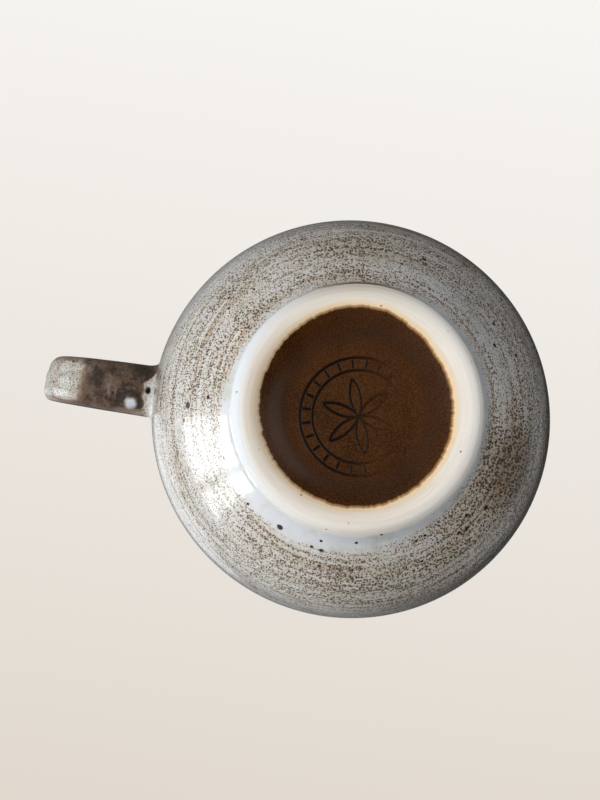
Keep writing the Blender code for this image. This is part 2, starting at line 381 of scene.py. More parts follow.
class Nodes:
    """A node tree, built from short calls. Sockets and plain numbers can both be inputs."""

    def __init__(self, tree):
        self.tree = tree

    def put(self, socket, value):
        if isinstance(value, bpy.types.NodeSocket):
            self.tree.links.new(value, socket)
        else:
            socket.default_value = value

    def node(self, kind, inputs=None, **settings):
        """Adds a node. Its inputs are given by name or by place."""
        made = self.tree.nodes.new(kind)
        for key, value in settings.items():
            setattr(made, key, value)
        for key, value in (inputs or {}).items():
            self.put(made.inputs[key], value)
        return made

    def attribute(self, name):
        return self.node("ShaderNodeAttribute", attribute_name=name).outputs["Fac"]

    def maths(self, operation, a, b):
        return self.node("ShaderNodeMath", {0: a, 1: b}, operation=operation).outputs["Value"]

    def plus(self, a, b):
        return self.maths("ADD", a, b)

    def minus(self, a, b):
        return self.maths("SUBTRACT", a, b)

    def times(self, a, b):
        return self.maths("MULTIPLY", a, b)

    def spread(self, value, low, high, out_low=0.0, out_high=1.0):
        """Maps value smoothly from low..high to out_low..out_high."""
        inputs = {"Value": value, "From Min": low, "From Max": high, "To Min": out_low, "To Max": out_high}
        return self.node("ShaderNodeMapRange", inputs, interpolation_type="SMOOTHSTEP").outputs["Result"]

    def blend(self, factor, a, b):
        """The colour a where factor is 0 and b where it is 1."""
        a, b = (c if isinstance(c, bpy.types.NodeSocket) else (*c, 1.0) for c in (a, b))
        inputs = {"Factor": factor, MIX_A: a, MIX_B: b}
        return self.node("ShaderNodeMix", inputs, data_type="RGBA").outputs[MIX_RESULT]

    def layers(self, colour, *over):
        """The colour under each (factor, colour) of over in turn."""
        for factor, upper in over:
            colour = self.blend(factor, colour, upper)
        return colour

    def place(self, scales=(1.0, 1.0, 1.0), third=None):
        """Object coordinates in millimetres times scales, with the third one replaced if it is given."""
        at = self.node("ShaderNodeTexCoord").outputs["Object"]
        parts = self.node("ShaderNodeSeparateXYZ", {0: at})
        kept = 3 if third is None else 2
        inputs = {i: self.times(parts.outputs[i], scales[i] / MM) for i in range(kept)}
        if third is not None:
            inputs[2] = self.times(third, scales[2])
        return self.node("ShaderNodeCombineXYZ", inputs).outputs[0]

    def noise(self, at, scale, detail=2.0, roughness=0.5):
        inputs = {"Vector": at, "Scale": scale, "Detail": detail, "Roughness": roughness}
        return self.node("ShaderNodeTexNoise", inputs).outputs["Fac"]

    def spots(self, at, scale, threshold, soft, randomness=1.0, scatter=None):
        """Round spots, one a cell: a mask, and two random numbers for each cell.

        Scatter shrinks each cell's spot by a random share of it, so that the spots thin out.
        """
        inputs = {"Vector": at, "Scale": scale, "Randomness": randomness}
        made = self.node("ShaderNodeTexVoronoi", inputs, feature="F1")
        parts = self.node("ShaderNodeSeparateColor", {0: made.outputs["Color"]})
        if scatter is not None:
            threshold = self.minus(threshold, self.times(scatter, parts.outputs[2]))
        ends = self.minus(threshold, soft), self.plus(threshold, soft)
        mask = self.spread(made.outputs["Distance"], *ends, 1.0, 0.0)
        return mask, parts.outputs[0], parts.outputs[1]

    def wobbled(self, at, scale, amount):
        """Coordinates shifted by noise, half of amount on average, so that round spots turn irregular."""
        noise = self.node("ShaderNodeTexNoise", {"Vector": at, "Scale": scale}).outputs["Color"]
        inputs = {0: noise, 1: (amount, amount, amount), 2: at}
        return self.node("ShaderNodeVectorMath", inputs, operation="MULTIPLY_ADD").outputs[0]

    def bump(self, height, distance, strength, under=None):
        """A bumped normal, with distance in millimetres, on top of the normal under if it is given."""
        inputs = {"Height": height, "Distance": distance * MM, "Strength": strength}
        if under is not None:
            inputs["Normal"] = under
        return self.node("ShaderNodeBump", inputs).outputs["Normal"]


class Finish(Nodes):
    """A material, which starts with one principled shader."""

    def __init__(self, name):
        self.material = bpy.data.materials.new(name)
        self.material.use_nodes = True
        super().__init__(self.material.node_tree)
        self.shader = self.tree.nodes["Principled BSDF"]

    def finish(self, colour, roughness, normal, coat=0.0, coat_roughness=0.05, specular=0.5):
        self.shade({
            "Base Color": colour,
            "Roughness": roughness,
            "Normal": normal,
            "Coat Normal": normal,
            "Coat Weight": coat,
            "Coat Roughness": coat_roughness,
            "Specular IOR Level": specular,
        })
        return self.material

    def shade(self, inputs):
        for key, value in inputs.items():
            self.put(self.shader.inputs[key], value)

    def show(self, surface):
        self.put(self.tree.nodes["Material Output"].inputs["Surface"], surface)
        return self.material


def speckled_glaze():
    """Grey-white glaze over iron-bearing clay: dense brown specks in turned rows, fewer near the foot."""
    f = Finish("speckled_glaze")
    run = f.attribute("run")
    pool = f.attribute("pool")
    rust = f.attribute("rust")
    fine_at = f.place((0.95, 0.95, 1.0), f.attribute("rise"))
    bands = f.noise(f.place((0.035, 0.035, 1.0), run), 0.75, 4.0, 0.6)
    rows = f.noise(f.place((0.030, 0.030, 1.0), run), 0.95, 2.0, 0.6)
    clouds = f.noise(f.place((0.16, 0.16, 0.30), run), 0.55, 3.0, 0.55)
    mottle = f.noise(fine_at, 0.9, 3.0, 0.6)
    warmth = f.plus(f.spread(clouds, 0.36, 0.68, -0.05, 0.42), rust)
    density = f.plus(f.spread(bands, 0.34, 0.66, 0.0, 0.46), f.times(warmth, 0.55))
    fine, fine_colour = fine_specks(f, fine_at, pool, density, rows)
    coarse, coarse_colour = coarse_specks(f, fine_at, pool, density)
    grain = f.spread(f.noise(f.place(), 2.4, 2.0, 0.7), 0.50, 0.66, 0.0, 0.30)
    colour = f.layers(
        glaze_base(f, fine_at, pool, rust, warmth, mottle, rows),
        (f.times(fine, 0.88), fine_colour),
        (f.times(coarse, 0.9), coarse_colour),
        (f.times(grain, f.minus(1.0, pool)), SPECK_BROWN),
        (f.spread(f.attribute("thickness"), 0.0, 1.0, 0.9, 0.0), GLAZE_THIN),
        # painted shade next to the foot
        (f.times(f.attribute("painted_shade"), 0.30), GLAZE_PAINTED_SHADE),
        (iron_mask(f, run), IRON),
        (f.attribute("burn"), GLAZE_BURNT),
    )
    normal = glaze_normal(f, run, f.maths("MAXIMUM", fine, coarse))
    rough = f.plus(f.spread(mottle, 0.3, 0.8, 0.16, 0.24), f.times(fine, 0.08))
    return f.finish(colour, rough, normal, coat=0.9, coat_roughness=0.085)


def glaze_base(f, at, pool, rust, warmth, mottle, rows):
    """The speckled glaze's colour between its specks."""
    olive = f.noise(at, 0.16, 3.0, 0.6)
    return f.layers(
        GLAZE_PALE,
        (f.spread(warmth, -0.2, 1.0), GLAZE_WARM),
        (f.spread(mottle, 0.40, 0.65, 0.0, 0.5), GLAZE_MILK),
        (f.times(f.spread(rows, 0.48, 0.68, 0.0, 0.65), f.minus(1.0, pool)), GLAZE_STREAK),
        (f.times(pool, 0.9), GLAZE_POOL),
        (f.spread(olive, 0.50, 0.66, 0.0, 0.5), GLAZE_OLIVE),
        (f.spread(olive, 0.50, 0.34, 0.0, 0.4), GLAZE_PINK),
        (f.spread(rust, 0.25, 1.3, 0.0, 0.75), GLAZE_RUST),
        (f.times(f.attribute("slate"), 0.42), GLAZE_SLATE),
    )


def fine_specks(f, at, pool, density, rows):
    """The dense small specks: their mask and their colour."""
    reach = f.plus(0.375, f.times(density, 0.03))
    reach = f.plus(reach, f.spread(rows, 0.34, 0.66, -0.12, 0.11))
    reach = f.minus(reach, f.times(f.maths("POWER", pool, 4.0), 0.30))
    mask, pick, tone = f.spots(at, 2.15, reach, 0.07, 0.80, f.times(pool, 0.62))
    speck = f.blend(f.spread(pick, 0.15, 0.85), SPECK_DARK, SPECK_BROWN)
    ochre = f.times(f.attribute("ochre"), f.spread(tone, 0.1, 0.5))
    return mask, f.blend(ochre, speck, SPECK_OCHRE)


def coarse_specks(f, at, pool, density):
    """The larger and darker specks: their mask and their colour."""
    reach = f.minus(f.spread(density, 0.05, 0.80, 0.19, 0.47), f.times(pool, 0.15))
    mask, pick, _ = f.spots(at, 1.55, reach, 0.06, 0.80, f.times(pool, 0.40))
    return mask, f.blend(f.spread(pick, 0.2, 0.8), SPECK_BLACK, SPECK_DARK)


def iron_mask(f, run):
    """A mask of the largest spots: a few at random and the placed ones."""
    at = f.wobbled(f.place((0.85, 0.85, 1.0), run), 0.9, 0.5)
    size = f.noise(f.place(), 0.1, 1.0)
    iron, chance, _ = f.spots(at, 0.20, f.spread(size, 0.2, 0.8, 0.045, 0.12), 0.02)
    iron = f.times(iron, f.spread(chance, 0.40, 0.44))
    return f.maths("MAXIMUM", iron, placed_spots(f, IRON_SPOTS))


def placed_spots(f, spots):
    """A mask of round blots at (angle, run, radius) on the cup's outside."""
    at = f.wobbled(f.place(), 1.1, SPOT_WOBBLE)
    mask = 0.0
    for angle, run, radius in spots:
        inputs = {0: at, 1: wall_point(angle, run)}
        away = f.node("ShaderNodeVectorMath", inputs, operation="DISTANCE")
        spot = f.spread(away.outputs["Value"], radius * 0.75, radius * 1.25, 1.0, 0.0)
        mask = f.maths("MAXIMUM", mask, spot)
    return mask


def wall_point(angle, run):
    """The point of the cup's outside at that angle and run, in the wobbled coordinates' millimetres."""
    line = smooth_curve(OUTSIDE, 400)
    along = run_along(line)
    radius = np.interp(run, along, line[:, 0])
    height = np.interp(run, along, line[:, 1])
    a = math.radians(angle)
    shift = SPOT_WOBBLE / 2
    x = CUP_AXIS_X / MM + radius * math.cos(a)
    y = radius * math.sin(a)
    return x + shift, y + shift, height + shift


def glaze_normal(f, run, specks):
    """Faint throwing lines and orange peel, with the specks slightly sunk."""
    normal = f.bump(f.noise(f.place((0.02, 0.02, 1.0), run), 0.9, 2.0), 0.05, 0.30)
    normal = f.bump(f.noise(f.place(), 0.9, 2.0), 0.05, 0.35, normal)
    return f.bump(specks, -0.02, 0.5, normal)


def bare_clay():
    """Fired clay of the foot ring: cream with turning lines, pink flashing and an orange edge by the well.

    It is darker and beige, chalky or lightly washed with glaze where the attributes of those names say.
    The darker beige on the handle's side is partly painted shade, most on the inner slope turned from the
    light.
    """
    f = Finish("bare_clay")
    run = f.attribute("run")
    from_well = f.attribute("from_well")
    lines = f.noise(f.place((0.03, 0.03, 1.0), run), 2.6, 5.0, 0.65)
    bands = f.noise(f.place((0.05, 0.05, 1.0), run), 0.8, 3.0, 0.6)
    grain = f.noise(f.place(), 3.5, 3.0, 0.7)
    speck, chance, _ = f.spots(f.place(), 0.45, 0.09, 0.03)
    colour = f.layers(
        CLAY_CREAM,
        (f.spread(bands, 0.35, 0.65), CLAY_BUFF),
        (f.times(f.spread(lines, 0.50, 0.68), 0.38), CLAY_LINE),
        (f.times(f.attribute("flash"), f.spread(bands, 0.3, 0.7, 0.3, 1.0)), CLAY_FLASH),
        (f.spread(grain, 0.60, 0.75, 0.0, 0.12), CLAY_GRAIN),
        (f.spread(from_well, 0.2, 1.9, 0.8, 0.0), CLAY_HALO),
        (f.spread(from_well, 0.05, 0.45, 0.85, 0.0), CLAY_BURNT),
        # darker beige, partly painted shade on the inner slope turned from the light
        (f.times(f.attribute("beige_and_painted_shade"), 0.85), CLAY_BEIGE_AND_SHADE),
        (f.times(f.attribute("chalky"), f.spread(from_well, 1.0, 5.5, 0.0, 0.85)), CLAY_CHALKY),
        (f.times(f.attribute("washed"), 0.9), CLAY_WASHED),
        (f.times(speck, f.spread(chance, 0.70, 0.74)), CLAY_SPECK),
    )
    normal = f.bump(lines, 0.10, 0.6)
    normal = f.bump(grain, 0.03, 0.5, normal)
    rough = f.spread(grain, 0.3, 0.7, 0.62, 0.78)
    return f.finish(colour, rough, normal, specular=0.3)


def brown_glaze():
    """Thin iron glaze of the well: warm dark brown with a fine orange fleck, darker where it lies deep."""
    f = Finish("brown_glaze")
    fleck = f.noise(f.place((0.8, 0.8, 0.8)), 3.2, 3.0, 0.7)
    cloud = f.noise(f.place((0.12, 0.12, 0.12)), 0.9, 3.0, 0.6)
    colour = f.layers(
        WELL_DARK,
        (f.spread(cloud, 0.35, 0.65), WELL_WARM),
        (f.spread(fleck, 0.45, 0.72, 0.0, 0.6), WELL_FLECK),
        (f.attribute("depth"), WELL_DEEP),
        (f.spread(f.attribute("edge"), 0.0, 0.55, 0.9, 0.0), WELL_THIN),
        (f.attribute("groove"), WELL_GROOVE),
    )
    normal = f.bump(f.noise(f.place(), 0.8, 3.0), 0.10, 0.35)
    normal = f.bump(fleck, 0.02, 0.6, normal)
    rough = f.spread(fleck, 0.3, 0.7, 0.24, 0.34)
    return f.finish(colour, rough, normal, specular=0.36)


def liner():
    """The glaze inside the cup: smoother and paler than the outside, breaking brown over the lip."""
    f = Finish("liner_glaze")
    run = f.attribute("run")
    at = f.wobbled(f.place((0.8, 0.8, 1.0), run), 0.9, 0.5)
    clouds = f.noise(f.place((0.15, 0.15, 0.4), run), 0.5, 3.0)
    fine, pick, _ = f.spots(at, 1.1, f.spread(clouds, 0.3, 0.7, 0.10, 0.24), 0.06)
    speck = f.blend(f.spread(pick, 0.1, 0.75), LINER_SPECK_DARK, LINER_SPECK_BROWN)
    iron, chance, _ = f.spots(at, 0.14, 0.07, 0.015)
    worn = f.noise(f.place((0.25, 0.25, 0.25)), 1.2, 3.0)
    colour = f.layers(
        LINER_COOL,
        (f.spread(clouds, 0.35, 0.65), LINER_WARM),
        (f.times(fine, 0.8), speck),
        (f.times(iron, f.spread(chance, 0.5, 0.54)), LINER_IRON),
        (f.times(f.attribute("lip"), f.spread(worn, 0.35, 0.6, 0.35, 1.0)), LINER_LIP),
    )
    normal = f.bump(f.noise(f.place((0.02, 0.02, 1.0), run), 0.7, 2.0), 0.2, 0.4)
    normal = f.bump(f.noise(f.place(), 0.5, 2.0), 0.12, 0.35, normal)
    return f.finish(colour, 0.14, normal, specular=0.55)


def handle_finish():
    """Glaze that runs from speckled grey on the thick bends to a dark metallic brown underneath."""
    f = Finish("handle_glaze")
    at = f.wobbled(f.place(), 1.2, 0.2)
    cloud = f.noise(f.place(), 0.20, 4.0, 0.6)
    mottle = f.noise(f.place(), 0.8, 4.0, 0.65)
    fine, pick, _ = f.spots(at, 2.0, f.spread(mottle, 0.35, 0.65, 0.33, 0.44), 0.06, 0.8)
    ragged = f.plus(f.attribute("brown"), f.times(f.minus(mottle, 0.5), 0.7))
    iron, chance, _ = f.spots(at, 0.30, 0.10, 0.02)
    colour = f.layers(
        strap_pale(f, cloud, mottle, fine, pick),
        (f.times(f.spread(ragged, 0.15, 0.45), 0.8), STRAP_RUST),
        (f.spread(ragged, 0.40, 0.70), strap_brown(f, cloud, mottle, fine)),
        (f.times(iron, f.spread(chance, 0.5, 0.54)), IRON),
        # a painted highlight under the strap, and pale glaze where the fillets meet the wall
        (f.times(f.attribute("pale_glaze_and_painted_highlight"), f.spread(mottle, 0.3, 0.6, 0.95, 0.6)), STRAP_PALE_GLAZE_AND_HIGHLIGHT),
        # painted shade inside the pinhole
        (f.attribute("hole_with_painted_shade"), STRAP_HOLE_SHADE),
    )
    normal = f.bump(cloud, 0.5, 0.30)
    normal = f.bump(mottle, 0.08, 0.35, normal)
    rough = f.spread(mottle, 0.3, 0.7, 0.26, 0.40)
    return f.finish(colour, rough, normal, coat=0.3, coat_roughness=0.10)


def strap_pale(f, cloud, mottle, fine, pick):
    speck = f.blend(f.spread(pick, 0.15, 0.8), STRAP_SPECK_DARK, STRAP_SPECK_BROWN)
    return f.layers(
        STRAP_GREY,
        (f.spread(cloud, 0.38, 0.60), STRAP_BUFF),
        (f.spread(mottle, 0.54, 0.70, 0.0, 0.5), STRAP_TAN),
        (f.times(fine, 0.8), speck),
    )


def strap_brown(f, cloud, mottle, fine):
    blush = f.noise(f.place((1.0, 0.4, 1.0)), 0.30, 3.0, 0.6)
    return f.layers(
        BROWN_DARK,
        (f.spread(cloud, 0.40, 0.60), BROWN_PALE),
        (f.spread(mottle, 0.50, 0.74, 0.0, 0.5), BROWN_MOTTLE),
        (f.spread(blush, 0.50, 0.68, 0.0, 0.75), BROWN_BLUSH),
        (f.times(fine, 0.35), BROWN_SPECK),
    )


# ---- pieces

ROUND = 768
ANGLES = round_angles(ROUND)
OUTSIDE_ROWS = 210
FOOT_ROWS = 110
WELL_ROWS = 200
WELL_ROUND = 720
INSIDE_ROWS = 170
INSIDE_ROUND = 512
LIP_ROWS = 24

# The outlines' last points stop just short of the axis, where a fan closes the surface
WELL_END = (0.15, 3.75)
INSIDE_END = (0.3, 9.6)

# Where the brown well glaze stops on the foot ring, as (angle, radius)
WELL_EDGE = [
    (353, 21.2), (25, 21.5), (85, 21.7), (145, 21.8), (175, 22.0), (220, 22.4),
    (255, 22.9), (277, 22.8), (297, 21.7), (320, 21.2),
]

# Where the outer glaze's milky pool round the foot ends, as (angle, run)
POOL_END = [
    (0, 2.6), (40, 3.5), (80, 6.0), (110, 7.6), (145, 6.8), (175, 3.8), (215, 1.0),
    (260, 0.4), (285, 1.8), (300, 3.0), (330, 2.8),
]

# Patches, as patches() takes them, of the outer glaze and of pink flashing on the clay. Where the rust's
# strength is negative the glaze is paler.
RUST_PATCHES = [
    (10, 17.0, 13, 10.0, 1.0), (25, 14.0, 34, 16.0, 0.55), (80, 20.0, 28, 6.0, 0.42),
    (110, 12.0, 20, 4.0, 0.30), (262, 17.0, 30, 9.0, 0.40), (205, 16.0, 25, 8.0, 0.05),
    (320, 14.0, 22, 12.0, -0.22), (48, 20.0, 14, 9.0, -0.30),
]
OCHRE_PATCHES = [(196, 4.5, 24, 3.2, 1.0), (100, 7.5, 35, 2.5, 0.5)]
# Painted shade: where the glaze leaves the foot on the side turned from the light, as patches() takes them
PAINTED_SHADE_PATCHES = [(25, 3.4, 62, 1.3, 1.0)]
SLATE_PATCHES = [(312, 12.0, 36, 10.0, 1.0)]
FLASH_PATCHES = [(176, 6.0, 16, 0.8, 0.5), (330, 5.2, 40, 0.6, 0.35), (75, 5.0, 40, 0.5, 0.35)]

# Sectors of the foot, as (middle angle, half width in degrees)
BURNT_SECTOR = (264, 24)
# Darker beige: in the inner sector it is partly painted shade, most on the slope turned from the light
BEIGE_AND_SHADE_INNER_SECTOR = (176, 58)
DARKER_OUTER_SECTOR = (256, 27)
CHALKY_SECTOR = (345, 62)
WASHED_SECTOR = (178, 60)

# The stamp's radii and where its middle is, off the cup's axis
STAMP_OUTER = 13.2
STAMP_INNER = 10.4
STAMP_PETAL = 8.6
STAMP_MIDDLE = (0.6, 1.4)
STAMP_DEPTH = 0.18


def well_edge_radius(angles):
    """The ragged radius at which the brown glaze stops."""
    ragged = 0.13 * jagged(angles, 230, 5, 2) + 0.06 * jagged(angles, 60, 9, 2)
    return round_values(angles, WELL_EDGE) + ragged


def make_outer_glaze():
    line = smooth_curve(OUTSIDE, OUTSIDE_ROWS)
    run = run_along(line)[:, None]
    rings = 0.035 * surface_noise(ANGLES, run, 5, 4.6, 11) + 0.006 * surface_noise(ANGLES, run, 9, 1.3, 12)
    wobble = 0.12 * np.sin(2 * ANGLES + 0.6) * smoothstep(5, 30, run) * smoothstep(105, 90, run)
    start = 0.35 + 0.22 * jagged(ANGLES, 40, 31) + 0.25 * jagged(ANGLES, 7, 37, 2)
    coat = smoothstep(-0.2, 1.6, run - start)
    lift = (rings + wobble) * smoothstep(1.5, 9.0, run) - 0.32 * (1 - coat)
    return add_piece(
        "outer_glaze_coat",
        turned_points(line, ANGLES, -lift),
        ["outer_glaze"],
        speckled_glaze(),
        outer_glaze_attributes(run, start),
    )


def outer_glaze_attributes(run, start):
    """The coat's attributes for rows at run, where the glaze starts at the run start."""
    pool_end = round_values(ANGLES, POOL_END) + 0.5 * jagged(ANGLES, 36, 21)
    steps = np.diff(run[:, 0], prepend=0) * (0.25 + 0.70 * smoothstep(14, 36, run[:, 0]))
    return {
        "run": run,
        "rise": np.cumsum(steps)[:, None],
        "pool": smoothstep(pool_end + 2.6, pool_end - 1.4, run),
        "rust": patches(ANGLES, run, RUST_PATCHES),
        "burn": sector(ANGLES, *BURNT_SECTOR) * smoothstep(2.5, 1.5, run - start),
        "ochre": np.clip(patches(ANGLES, run, OCHRE_PATCHES), 0, 1),
        "thickness": smoothstep(-0.2, 2.2, run - start),
        "painted_shade": patches(ANGLES, run, PAINTED_SHADE_PATCHES),
        "slate": patches(ANGLES, run, SLATE_PATCHES),
    }


def make_foot_ring():
    line = smooth_curve(FOOT, FOOT_ROWS)
    run = run_along(line)[:, None]
    radius = line[:, 0:1]
    lines = 0.018 * surface_noise(ANGLES, run, 3, 0.33, 41) + 0.012 * surface_noise(ANGLES, run, 2, 0.16, 42)
    off_floor = smoothstep(0.0, 0.1, line[:, 1:2])
    lift = lines * (0.4 + 0.6 * off_floor) - 0.02
    # Darker beige on the handle's side, painted shade most on the inner slope turned from the light
    inner = 0.8 * sector(ANGLES, *BEIGE_AND_SHADE_INNER_SECTOR) * (0.3 + 0.7 * smoothstep(25.5, 23.0, radius))
    outer = sector(ANGLES, *DARKER_OUTER_SECTOR) * smoothstep(25.2, 26.8, radius)
    attributes = {
        "run": run,
        "from_well": radius - well_edge_radius(ANGLES),
        "flash": np.clip(patches(ANGLES, run, FLASH_PATCHES), 0, 1),
        "beige_and_painted_shade": np.clip(inner + outer, 0, 1),
        "chalky": sector(ANGLES, *CHALKY_SECTOR),
        "washed": sector(ANGLES, *WASHED_SECTOR) * smoothstep(24.9, 27.2, radius),
    }
    points = turned_points(line, ANGLES, lift)
    nodes = ["thrown_body"]
    return add_piece("clay_foot_ring", points, nodes, bare_clay(), attributes, flip=True)


def segment_distance(x, y, a, b):
    """Distance from points to the straight line between a and b."""
    dx, dy = b[0] - a[0], b[1] - a[1]
    t = np.clip(((x - a[0]) * dx + (y - a[1]) * dy) / (dx * dx + dy * dy), 0, 1)
    return np.hypot(x - a[0] - t * dx, y - a[1] - t * dy)


def on_circle(radius, degrees):
    angle = math.radians(degrees)
    return radius * math.cos(angle), radius * math.sin(angle)


def stamp_depth(x, y):
    """A made-up compass-drawn mark: two rings with ticks between them and a six-petal rosette.

    It is 1 in the middle of a fully pressed line. The mark is pressed most deeply on its -X side.
    """
    x = x - STAMP_MIDDLE[0]
    y = y - STAMP_MIDDLE[1]
    away = np.hypot(x, y)
    distance = np.minimum(abs(away - STAMP_OUTER), abs(away - STAMP_INNER))
    for k in range(24):
        a = on_circle(STAMP_INNER + 0.7, 15 * k)
        b = on_circle(STAMP_OUTER - 0.7, 15 * k)
        distance = np.minimum(distance, segment_distance(x, y, a, b))
    for k in range(6):
        cx, cy = on_circle(STAMP_PETAL, 60 * k + 12)
        ring = abs(np.hypot(x - cx, y - cy) - STAMP_PETAL)
        distance = np.minimum(distance, np.where(away < STAMP_PETAL, ring, 9.0))
    line = smoothstep(0.40, 0.19, distance)
    pressed = smoothstep(11.0, -6.0, x)
    return line * (0.08 + 0.92 * pressed)


def make_well_glaze():
    angles = round_angles(WELL_ROUND)
    line = smooth_curve([*WELL[:-1], WELL_END], WELL_ROWS)
    run = run_along(line)[:, None]
    radius = line[:, 0:1]
    edge = well_edge_radius(angles) - radius
    groove = stamp_depth(radius * np.cos(angles), radius * np.sin(angles))
    wave = 0.05 * surface_noise(angles, run, 7, 3.0, 51)
    wave = wave * smoothstep(3.0, 8.0, run) * smoothstep(23.0, 15.0, run)
    lift = 0.16 * smoothstep(-0.12, 0.35, edge) - 0.12 + wave - STAMP_DEPTH * groove
    attributes = {
        "edge": edge,
        "groove": groove,
        "depth": 0.6 * np.exp(-(((radius - 17.6) / 2.2) ** 2)),
    }
    return add_piece(
        "well_glaze_coat",
        turned_points(line, angles, lift),
        ["foot_well_glaze"],
        brown_glaze(),
        attributes,
        flip=True,
        closed=True,
    )


def make_liner():
    angles = round_angles(INSIDE_ROUND)
    lip = arc(LIP_MIDDLE, LIP_RADIUS, 0, 180, LIP_ROWS)
    line = np.vstack([lip[:-1], smooth_curve([*INSIDE[:-1], INSIDE_END], INSIDE_ROWS)])
    run = run_along(line)[:, None]
    rings = 0.14 * surface_noise(angles, run, 4, 5.0, 61) * smoothstep(6.0, 12.0, run)
    attributes = {"run": run, "lip": smoothstep(HEIGHT - 1.5, HEIGHT - 0.2, line[:, 1:2])}
    points = turned_points(line, angles, -rings)
    nodes = ["liner_glaze"]
    return add_piece("liner_glaze_coat", points, nodes, liner(), attributes, closed=True)


# ---- the strap

SECTION = 128
PATH_ROWS = 600
STRAP_ROWS = 260
FILLET_ROWS = 44
PATH = smooth_curve(STRAP_PATH, PATH_ROWS)
PATH_ALONG = tangents(PATH)
PATH_SHARES = np.linspace(0, 1, PATH_ROWS)
WALL = smooth_curve(OUTSIDE, PATH_ROWS)

# How far the strap runs into its fillets, and the fillets into the cup's wall
OVERLAP = 0.15
BURIED = 0.14


def wall_radius(height):
    return np.interp(height, WALL[:, 1], WALL[:, 0])


def strap_section(squareness):
    """Across and outward parts of each section point, as shares of the half width and half thickness.

    The points are evenly spaced round the section, which is about twice as wide as it is thick.
    """
    angles = np.linspace(0, 2 * math.pi, 4001)
    c, s = np.cos(angles), np.sin(angles)
    power = 2 / squareness
    across, outward = np.sign(c) * abs(c) ** power, np.sign(s) * abs(s) ** power
    run = run_along(np.column_stack([across * 2, outward]))
    places = (np.arange(SECTION) + 0.5) / SECTION * run[-1]
    return np.interp(places, run, across), np.interp(places, run, outward)


ACROSS, OUTWARD = strap_section(STRAP_SQUARENESS)
SOFT_ACROSS, SOFT_OUTWARD = strap_section(ARM_SQUARENESS)


def strap_points(shares):
    """Points of the strap's surface for one share of the way round for each section point."""
    reach = np.interp(shares, PATH_SHARES, PATH[:, 0])
    height = np.interp(shares, PATH_SHARES, PATH[:, 1])
    along_reach = np.interp(shares, PATH_SHARES, PATH_ALONG[:, 0])
    along_height = np.interp(shares, PATH_SHARES, PATH_ALONG[:, 1])
    width = np.interp(shares, np.linspace(0, 1, len(STRAP_WIDTHS)), STRAP_WIDTHS)
    square = smoothstep(0.14, 0.26, shares)
    across = (SOFT_ACROSS * (1 - square) + ACROSS * square) * width / 2
    outward = (SOFT_OUTWARD * (1 - square) + OUTWARD * square) * STRAP_THICKNESS / 2
    outward = outward * (1 - STRAP_CROWN * square * ACROSS**2)
    pulled = 0.07 * np.cos(across * 1.9 + 0.5) * np.sign(OUTWARD) * (1 - abs(ACROSS) ** 4)
    wander = 0.03 * np.sin(shares * 31 + 2) + 0.015 * np.sin(shares * 57 + across * 0.4)
    outward = outward + pulled + wander * np.sign(OUTWARD) * (1 - abs(ACROSS) ** 6)
    skew = STRAP_SKEW * np.sin(math.pi * shares) ** 2
    u = reach + outward * along_height + skew * across
    z = height - outward * along_reach
    shift = STRAP_SHIFT * (1 - 2 * smoothstep(0.2, 0.8, shares))
    return np.stack([u, across + shift, z], axis=-1)


def proud(points):
    """How far points (reach, across, height) stand out of the cup's wall."""
    return np.hypot(points[..., 0], points[..., 1]) - wall_radius(points[..., 2])


def shares_at(distance, upper):
    """For each section point, the share of the way round at which it stands distance out of the wall."""
    inside = np.full(SECTION, 1.0 if upper else 0.0)
    outside = np.full(SECTION, 0.5)
    for _ in range(40):
        middle = (inside + outside) / 2
        buried = proud(strap_points(middle)) < distance
        inside = np.where(buried, middle, inside)
        outside = np.where(buried, outside, middle)
    return outside


def fillet_rings(upper):
    """Rings of the joint's fillet, from the strap down to just inside the cup's surface."""
    start = strap_points(shares_at(FILLET, upper))
    corner = strap_points(shares_at(0.0, upper))
    middle = corner.mean(axis=0)
    out = corner - middle
    out[:, 0] = 0
    out = out / np.linalg.norm(out, axis=1)[:, None]
    end = corner + FILLET_FLARE * out
    end[:, 0] = np.sqrt(wall_radius(end[:, 2]) ** 2 - end[:, 1] ** 2)
    rings = []
    for b in np.linspace(0, 1, FILLET_ROWS):
        ring = (1 - b) ** 2 * start + 2 * b * (1 - b) * corner + b**2 * end
        least = 0.05 * (1 - b) - BURIED * smoothstep(0.8, 1.0, b)
        short = np.maximum(least - proud(ring), 0)
        ring[:, 0] += short
        ring[:, 0] -= BURIED * smoothstep(0.85, 1.0, b)
        rings.append(ring)
    return np.array(rings)


def strap_to_world(points):
    reach, across, height = points[..., 0], points[..., 1], points[..., 2]
    return np.stack([CUP_AXIS_X - reach * MM, across * MM, height * MM], axis=-1)


def painted_highlight_bump(points):
    """A painted highlight on the strap's underside near the cup, on a low bump, from 0 to 1 at its middle."""
    along = (points[..., 0] - PAINTED_HIGHLIGHT[0]) / PAINTED_HIGHLIGHT_SIZE[0]
    across = (points[..., 1] - PAINTED_HIGHLIGHT[1]) / PAINTED_HIGHLIGHT_SIZE[1]
    away = (abs(along + 0.3 * across) ** 2.6 + abs(across - 0.3 * along) ** 2.6) ** (1 / 2.6)
    return np.where(OUTWARD > 0.3, smoothstep(1.45, 0.50, away), 0)


def strap_brown_share(shares):
    """How brown the strap's glaze is: most under the lower arm, less along the grip's edges and inside."""
    under = smoothstep(-0.5, 0.9, OUTWARD)
    arm = smoothstep(0.275, 0.205, shares)
    grip = 0.55 * smoothstep(0.55, 0.95, abs(ACROSS)) + 0.25 * smoothstep(0.2, -0.8, OUTWARD)
    brown = np.clip(under * arm + grip * (1 - arm) + 0.35 * arm, 0, 1)
    return brown * (1 - 0.6 * smoothstep(0.70, 0.98, ACROSS) * smoothstep(0.26, 0.08, shares))


